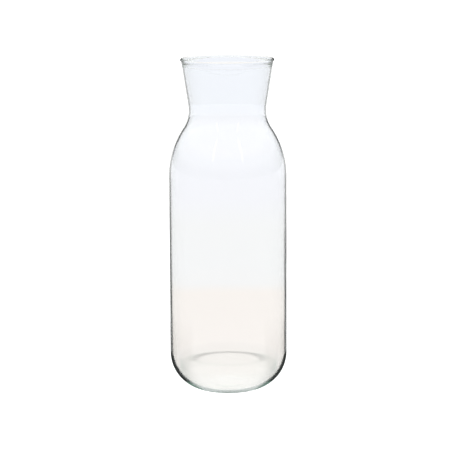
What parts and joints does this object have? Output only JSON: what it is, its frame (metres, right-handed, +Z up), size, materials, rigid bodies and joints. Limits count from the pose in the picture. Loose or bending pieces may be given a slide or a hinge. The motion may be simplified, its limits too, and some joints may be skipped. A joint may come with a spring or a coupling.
{
  "type": "water carafe",
  "caption": "Clear glass carafe with a straight body, round shoulder, drawn-in waist, flared open mouth and round-heeled base.",
  "frame": {"origin": "centre of the standing ring, on the surface that the carafe stands on", "axes": "+Z up along the vessel's axis, towards the mouth"},
  "size_m": [0.09, 0.09, 0.256],
  "materials": {
    "clear_glass": "clear soda-lime glass, blown, with a fire-polished lip"
  },
  "bodies": {
    "root": {"glass_vessel": "clear_glass"}
  },
  "joints": []
}
